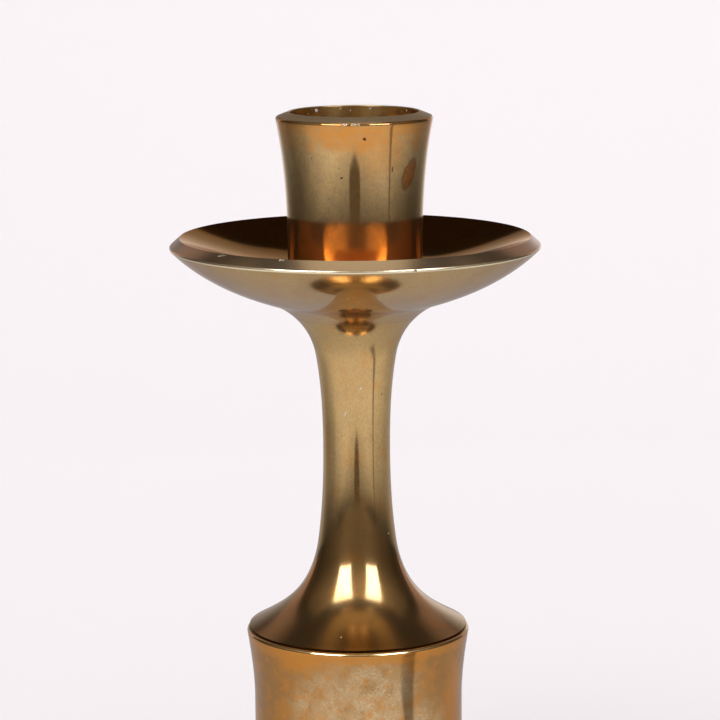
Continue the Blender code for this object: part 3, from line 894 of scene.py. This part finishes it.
def make_floor(paper):
    """A pale table that curves up into a low backdrop far behind."""
    level = 0.0002
    bend = 0.35
    radius = 0.6
    steps = 24
    profile = [(-3.0, level), (bend, level)]
    for step in range(1, steps + 1):
        turn = math.radians(80) * step / steps
        profile.append((bend + radius * math.sin(turn), radius * (1 - math.cos(turn))))
    mesh = bpy.data.meshes.new("paper_sweep")
    build = bmesh.new()
    rows = [[build.verts.new((x, y, z)) for x in (-3.0, 3.0)] for y, z in profile]
    for near, far in zip(rows, rows[1:]):
        build.faces.new((near[0], near[1], far[1], far[0]))
    build.to_mesh(mesh)
    build.free()
    mesh.shade_smooth()
    material, tree = new_material("white paper")
    shader = node(tree, "ShaderNodeBsdfPrincipled", {}, {
        "Base Color": tuple(paper), "Roughness": 0.9, "Specular IOR Level": 0.1})
    node(tree, "ShaderNodeOutputMaterial", {}, {"Surface": shader.outputs[0]})
    mesh.materials.append(material)
    sweep = bpy.data.objects.new("paper_sweep", mesh)
    bpy.context.scene.collection.objects.link(sweep)
    sweep.visible_glossy = False


def make_lamp(name, place, target, size, power):
    """A soft square lamp that lights the table and stays out of the brass."""
    data = bpy.data.lights.new(name, "AREA")
    data.size = size
    data.energy = power
    lamp = bpy.data.objects.new(name, data)
    lamp.location = place
    lamp.rotation_euler = (Vector(target) - Vector(place)).to_track_quat("-Z", "Y").to_euler()
    lamp.visible_glossy = False
    lamp.visible_camera = False
    bpy.context.scene.collection.objects.link(lamp)


def make_cards():
    """What the brass mirrors: white table, backdrop, two softboxes and the dark of the room."""
    card("table_card", [(-1.0, -0.7, 0.001), (1.0, -0.7, 0.001), (1.0, 1.0, 0.001), (-1.0, 1.0, 0.001)],
         table_glow())
    back = shaded_glow("white backdrop in the brass", linear("FFFAFD"), (
        ("Z", 0.0, 0.6, ((0.0, 0.9), (0.33, 0.86), (0.47, 0.56), (0.67, 0.33), (0.8, 0.27), (0.93, 0.17))),
        ("X", -0.2, 0.1, ((0.0, 0.4), (0.35, 0.45), (0.8, 1.0))),
    ))
    skyline = [(0.5, 0.5), (0.11, 0.52), (0.08, 0.6), (0.01, 0.6), (-0.04, 0.42), (-0.5, 0.4)]
    card("backdrop_card", [(-0.5, 1.0, 0.002), (0.5, 1.0, 0.002)] + [(x, 1.0, z) for x, z in skyline], back)
    card("dark_behind", [(-0.5, 1.03, 0.3), (0.5, 1.03, 0.3), (0.5, 1.03, 1.3), (-0.5, 1.03, 1.3)],
         glow("dark behind the backdrop", linear("1E1914")))
    walls = shaded_glow("grey walls beside the backdrop", linear("FFDAD1"), (
        ("Z", 0.0, 1.2, ((0.0, 0.5), (0.23, 0.46), (0.4, 0.36), (0.5, 0.32), (0.69, 0.3), (0.85, 0.17),
                         (1.0, 0.02))),
    ))
    for name, turns in (("side_left", range(-136, -155, -3)), ("side_right", range(136, 155, 3))):
        curved_card(name, turns, 1.1, 0.002, 1.2, walls)
    bright = shaded_glow("softbox", linear("F5F5FF"), (
        ("Z", 0.3, 0.85, ((0.0, 3.4), (0.1, 4.0), (0.72, 4.0), (1.0, 1.3))),
        ("Y", -1.0, 0.0, ((0.0, 1.65), (1.0, 1.65))),
    ))
    for name, corners in (("softbox_left", ((-47, 15), (-18, 15), (-14, 56), (-68, 56))),
                          ("softbox_right", ((24, 15), (52, 15), (65, 56), (21, 56)))):
        card(name, [toward(azimuth, elevation, 0.9) for azimuth, elevation in corners], bright)
    card("ceiling_card", [(-0.35, -0.3, 1.2), (0.35, -0.3, 1.2), (0.35, 0.3, 1.2), (-0.35, 0.3, 1.2)],
         glow("pale ceiling", linear("DACEBF")))
    room = shaded_glow("dim room before the table", linear("FFE5C5"), (
        ("Y", -1.3, 0.7, ((0.0, 0.17), (0.1, 0.18), (0.42, 0.1), (0.78, 0.06), (1.0, 0.03))),
        ("Z", 0.0, 2.0, ((0.0, 1.0), (0.16, 1.0), (0.28, 1.5), (0.5, 2.5), (1.0, 3.0))),
    ))
    curved_card("room_card", range(-120, 121, 10), 1.3, -0.15, 2.2, room)
    # Painted dark reflections: dark cards that show only in the brass, an arc in front above the cup and a
    # patch on the table in front of it.
    dark = glow("painted dark reflection", linear("594D3F"))
    curved_card("dark_arc_card", range(-80, 81, 8), 0.095, 0.1865, 0.06, dark)
    dark_patch = [(0.0, -0.335), (0.04, -0.365), (0.062, -0.40), (0.072, -0.45), (0.08, -0.55), (0.085, -0.7),
             (-0.085, -0.7), (-0.08, -0.55), (-0.072, -0.45), (-0.062, -0.40), (-0.04, -0.365)]
    card("dark_patch_card", [(x, y, 0.003) for x, y in dark_patch], dark)


def make_camera(scene):
    """The camera: a long lens, 10 degrees above level, half a metre from the stem."""
    aim = Vector((0.0, 0.0, 0.096))
    distance = 0.54125
    pitch = math.radians(10.009)
    roll = math.radians(-0.4)
    data = bpy.data.cameras.new("camera")
    data.sensor_width = 36.0
    data.lens = 153.7
    data.clip_start = 0.01
    camera = bpy.data.objects.new("camera", data)
    back = Vector((0.0, -math.cos(pitch), math.sin(pitch))) * distance
    side = Vector((0.0007, 0.0, 0.0))
    turn = Euler((math.radians(90) - pitch, 0, 0)).to_matrix() @ Matrix.Rotation(roll, 3, "Z")
    camera.matrix_world = Matrix.Translation(aim + back + side) @ turn.to_4x4()
    scene.collection.objects.link(camera)
    scene.camera = camera


class CANDLESTICK_OT_stage(bpy.types.Operator):
    """Set the table, the backdrop, the lamps, the studio cards and the camera"""

    bl_idname = "candlestick.stage"
    bl_label = "Stage"

    def execute(self, context):
        scene = context.scene
        scene.view_settings.view_transform = "Standard"
        make_world(scene)
        make_floor(scene.candlestick_finish.paper)
        make_lamp("front_lamp", (-0.5, -0.9, 1.4), (0, 0.0, 0), 0.8, 3.9)
        make_lamp("back_lamp", (0.3, 0.6, 1.5), (0, 1.3, 0.3), 0.9, 5.6)
        make_cards()
        make_camera(scene)
        return {"FINISHED"}


class CANDLESTICK_PT_panel(bpy.types.Panel):
    """The candlestick's sizes, colours and pieces"""

    bl_idname = "CANDLESTICK_PT_panel"
    bl_label = "Brass Candlestick"
    bl_space_type = "VIEW_3D"
    bl_region_type = "UI"
    bl_category = "Candlestick"

    def draw(self, context):
        scene = context.scene
        for group in (scene.candlestick_sizes, scene.candlestick_finish):
            for name in group.__annotations__:
                self.layout.prop(group, name)
        for operator in PIECES:
            self.layout.operator(operator.bl_idname)


PIECES = (
    CANDLESTICK_OT_candle_cup,
    CANDLESTICK_OT_drip_tray,
    CANDLESTICK_OT_stem,
    CANDLESTICK_OT_base_drum,
    CANDLESTICK_OT_fasteners,
    CANDLESTICK_OT_felt_pad,
    CANDLESTICK_OT_stage,
)
CLASSES = (CandlestickSizes, CandlestickFinish, *PIECES, CANDLESTICK_PT_panel)


def register():
    for item in CLASSES:
        bpy.utils.register_class(item)
    bpy.types.Scene.candlestick_sizes = bpy.props.PointerProperty(type=CandlestickSizes)
    bpy.types.Scene.candlestick_finish = bpy.props.PointerProperty(type=CandlestickFinish)


def unregister():
    del bpy.types.Scene.candlestick_finish
    del bpy.types.Scene.candlestick_sizes
    for item in reversed(CLASSES):
        bpy.utils.unregister_class(item)


def main():
    register()
    for build in (
        bpy.ops.candlestick.candle_cup,
        bpy.ops.candlestick.drip_tray,
        bpy.ops.candlestick.stem,
        bpy.ops.candlestick.base_drum,
        bpy.ops.candlestick.fasteners,
        bpy.ops.candlestick.felt_pad,
        bpy.ops.candlestick.stage,
    ):
        build()


if __name__ == "__main__":
    main()
